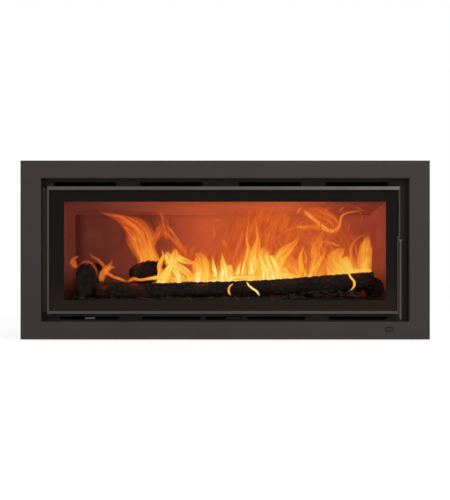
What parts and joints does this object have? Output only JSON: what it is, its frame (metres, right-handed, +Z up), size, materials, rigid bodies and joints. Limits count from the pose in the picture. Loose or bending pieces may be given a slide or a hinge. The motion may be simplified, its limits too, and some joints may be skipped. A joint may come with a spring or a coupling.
{
  "type": "fireplace insert",
  "caption": "Wide landscape wood-burning insert: folded steel surround, slotted air strips, side-hung glass door with drop lever, air slides, lined chamber with logs, casing and flue collar.",
  "frame": {"origin": "middle of the footprint, on the floor of the recess under the levelling feet", "axes": "+X to the right seen from the room, +Y back into the wall, +Z up"},
  "size_m": [1.05, 0.3886, 0.469],
  "materials": {
    "surround_paint": "satin anthracite heat-resistant paint",
    "recess_paint": "satin anthracite heat-resistant paint, darker recessed front",
    "door_paint": "satin anthracite heat-resistant paint",
    "galvanised_sheet": "spangled galvanised sheet",
    "firebox_plate": "black heat-resistant paint on welded plate",
    "pin_steel": "bright steel",
    "lever_tip": "brushed stainless steel",
    "door_glass": "clear ceramic glass with a black printed border",
    "gasket": "flat glass-fibre tape",
    "rope": "braided glass-fibre rope",
    "board": "pressed vermiculite board glowing in the firelight",
    "log": "charred firewood",
    "ember": "embers and ash",
    "badge": "plain dark enamelled plate"
  },
  "bodies": {
    "body": {"surround_frame": "surround_paint", "badge_plate": "badge", "upper_slot_strip": "recess_paint", "lower_slot_strip": "recess_paint", "left_cheek": "recess_paint", "right_cheek": "recess_paint", "hinge_bracket_lower": "recess_paint", "hinge_bracket_upper": "recess_paint", "hinge_pin_lower": "pin_steel", "hinge_pin_upper": "pin_steel", "latch_keeper": "recess_paint", "casing_side_left": "galvanised_sheet", "casing_side_right": "galvanised_sheet", "casing_top": "galvanised_sheet", "casing_base": "galvanised_sheet", "casing_back": "galvanised_sheet", "surround_bracket_left_lower": "galvanised_sheet", "surround_bracket_left_upper": "galvanised_sheet", "surround_bracket_right_lower": "galvanised_sheet", "surround_bracket_right_upper": "galvanised_sheet", "firebox_shell": "firebox_plate", "air_wash_deflector": "firebox_plate", "flue_collar": "firebox_plate", "side_liner_left": "board", "side_liner_right": "board", "back_board_left": "board", "back_board_middle": "board", "back_board_right": "board", "hearth_board_left": "board", "hearth_board_right": "board", "baffle": "board", "air_box": "firebox_plate", "firebox_bearer_left": "galvanised_sheet", "firebox_bearer_right": "galvanised_sheet", "levelling_foot_front_left": "pin_steel", "levelling_foot_rear_left": "pin_steel", "levelling_foot_front_right": "pin_steel", "levelling_foot_rear_right": "pin_steel", "log_front": "log", "log_left": "log", "log_back": "log", "log_rear": "log", "log_right": "log", "ember_bed": "ember"},
    "door": {"door_frame": "door_paint", "door_glass": "door_glass", "glass_gasket": "gasket", "door_inner_frame": "firebox_plate", "door_rope_seal": "rope", "hinge_bush_lower": "pin_steel", "hinge_bush_upper": "pin_steel", "handle_pivot_pin": "pin_steel"},
    "handle": {"handle_lever": "door_paint"},
    "left_air_control": {"left_air_slide": "firebox_plate", "left_air_tip": "lever_tip"},
    "centre_air_control": {"centre_air_slide": "firebox_plate", "centre_air_tip": "recess_paint"}
  },
  "joints": [
    {"name": "door_hinge", "type": "hinge", "parent": "body", "child": "door", "pos_m": [-0.4498, -0.176, 0.2315], "axis": [0, 0, -1], "range_deg": [0, 100]},
    {"name": "handle_pull", "type": "hinge", "parent": "door", "child": "handle", "pos_m": [0.4496, -0.184, 0.2546], "axis": [-1, 0, 0], "range_deg": [0, 35]},
    {"name": "left_air_slide_travel", "type": "slide", "parent": "body", "child": "left_air_control", "axis": [1, 0, 0], "range_m": [-0.055, 0.055]},
    {"name": "centre_air_slide_travel", "type": "slide", "parent": "body", "child": "centre_air_control", "axis": [1, 0, 0], "range_m": [-0.049, 0.002]}
  ]
}
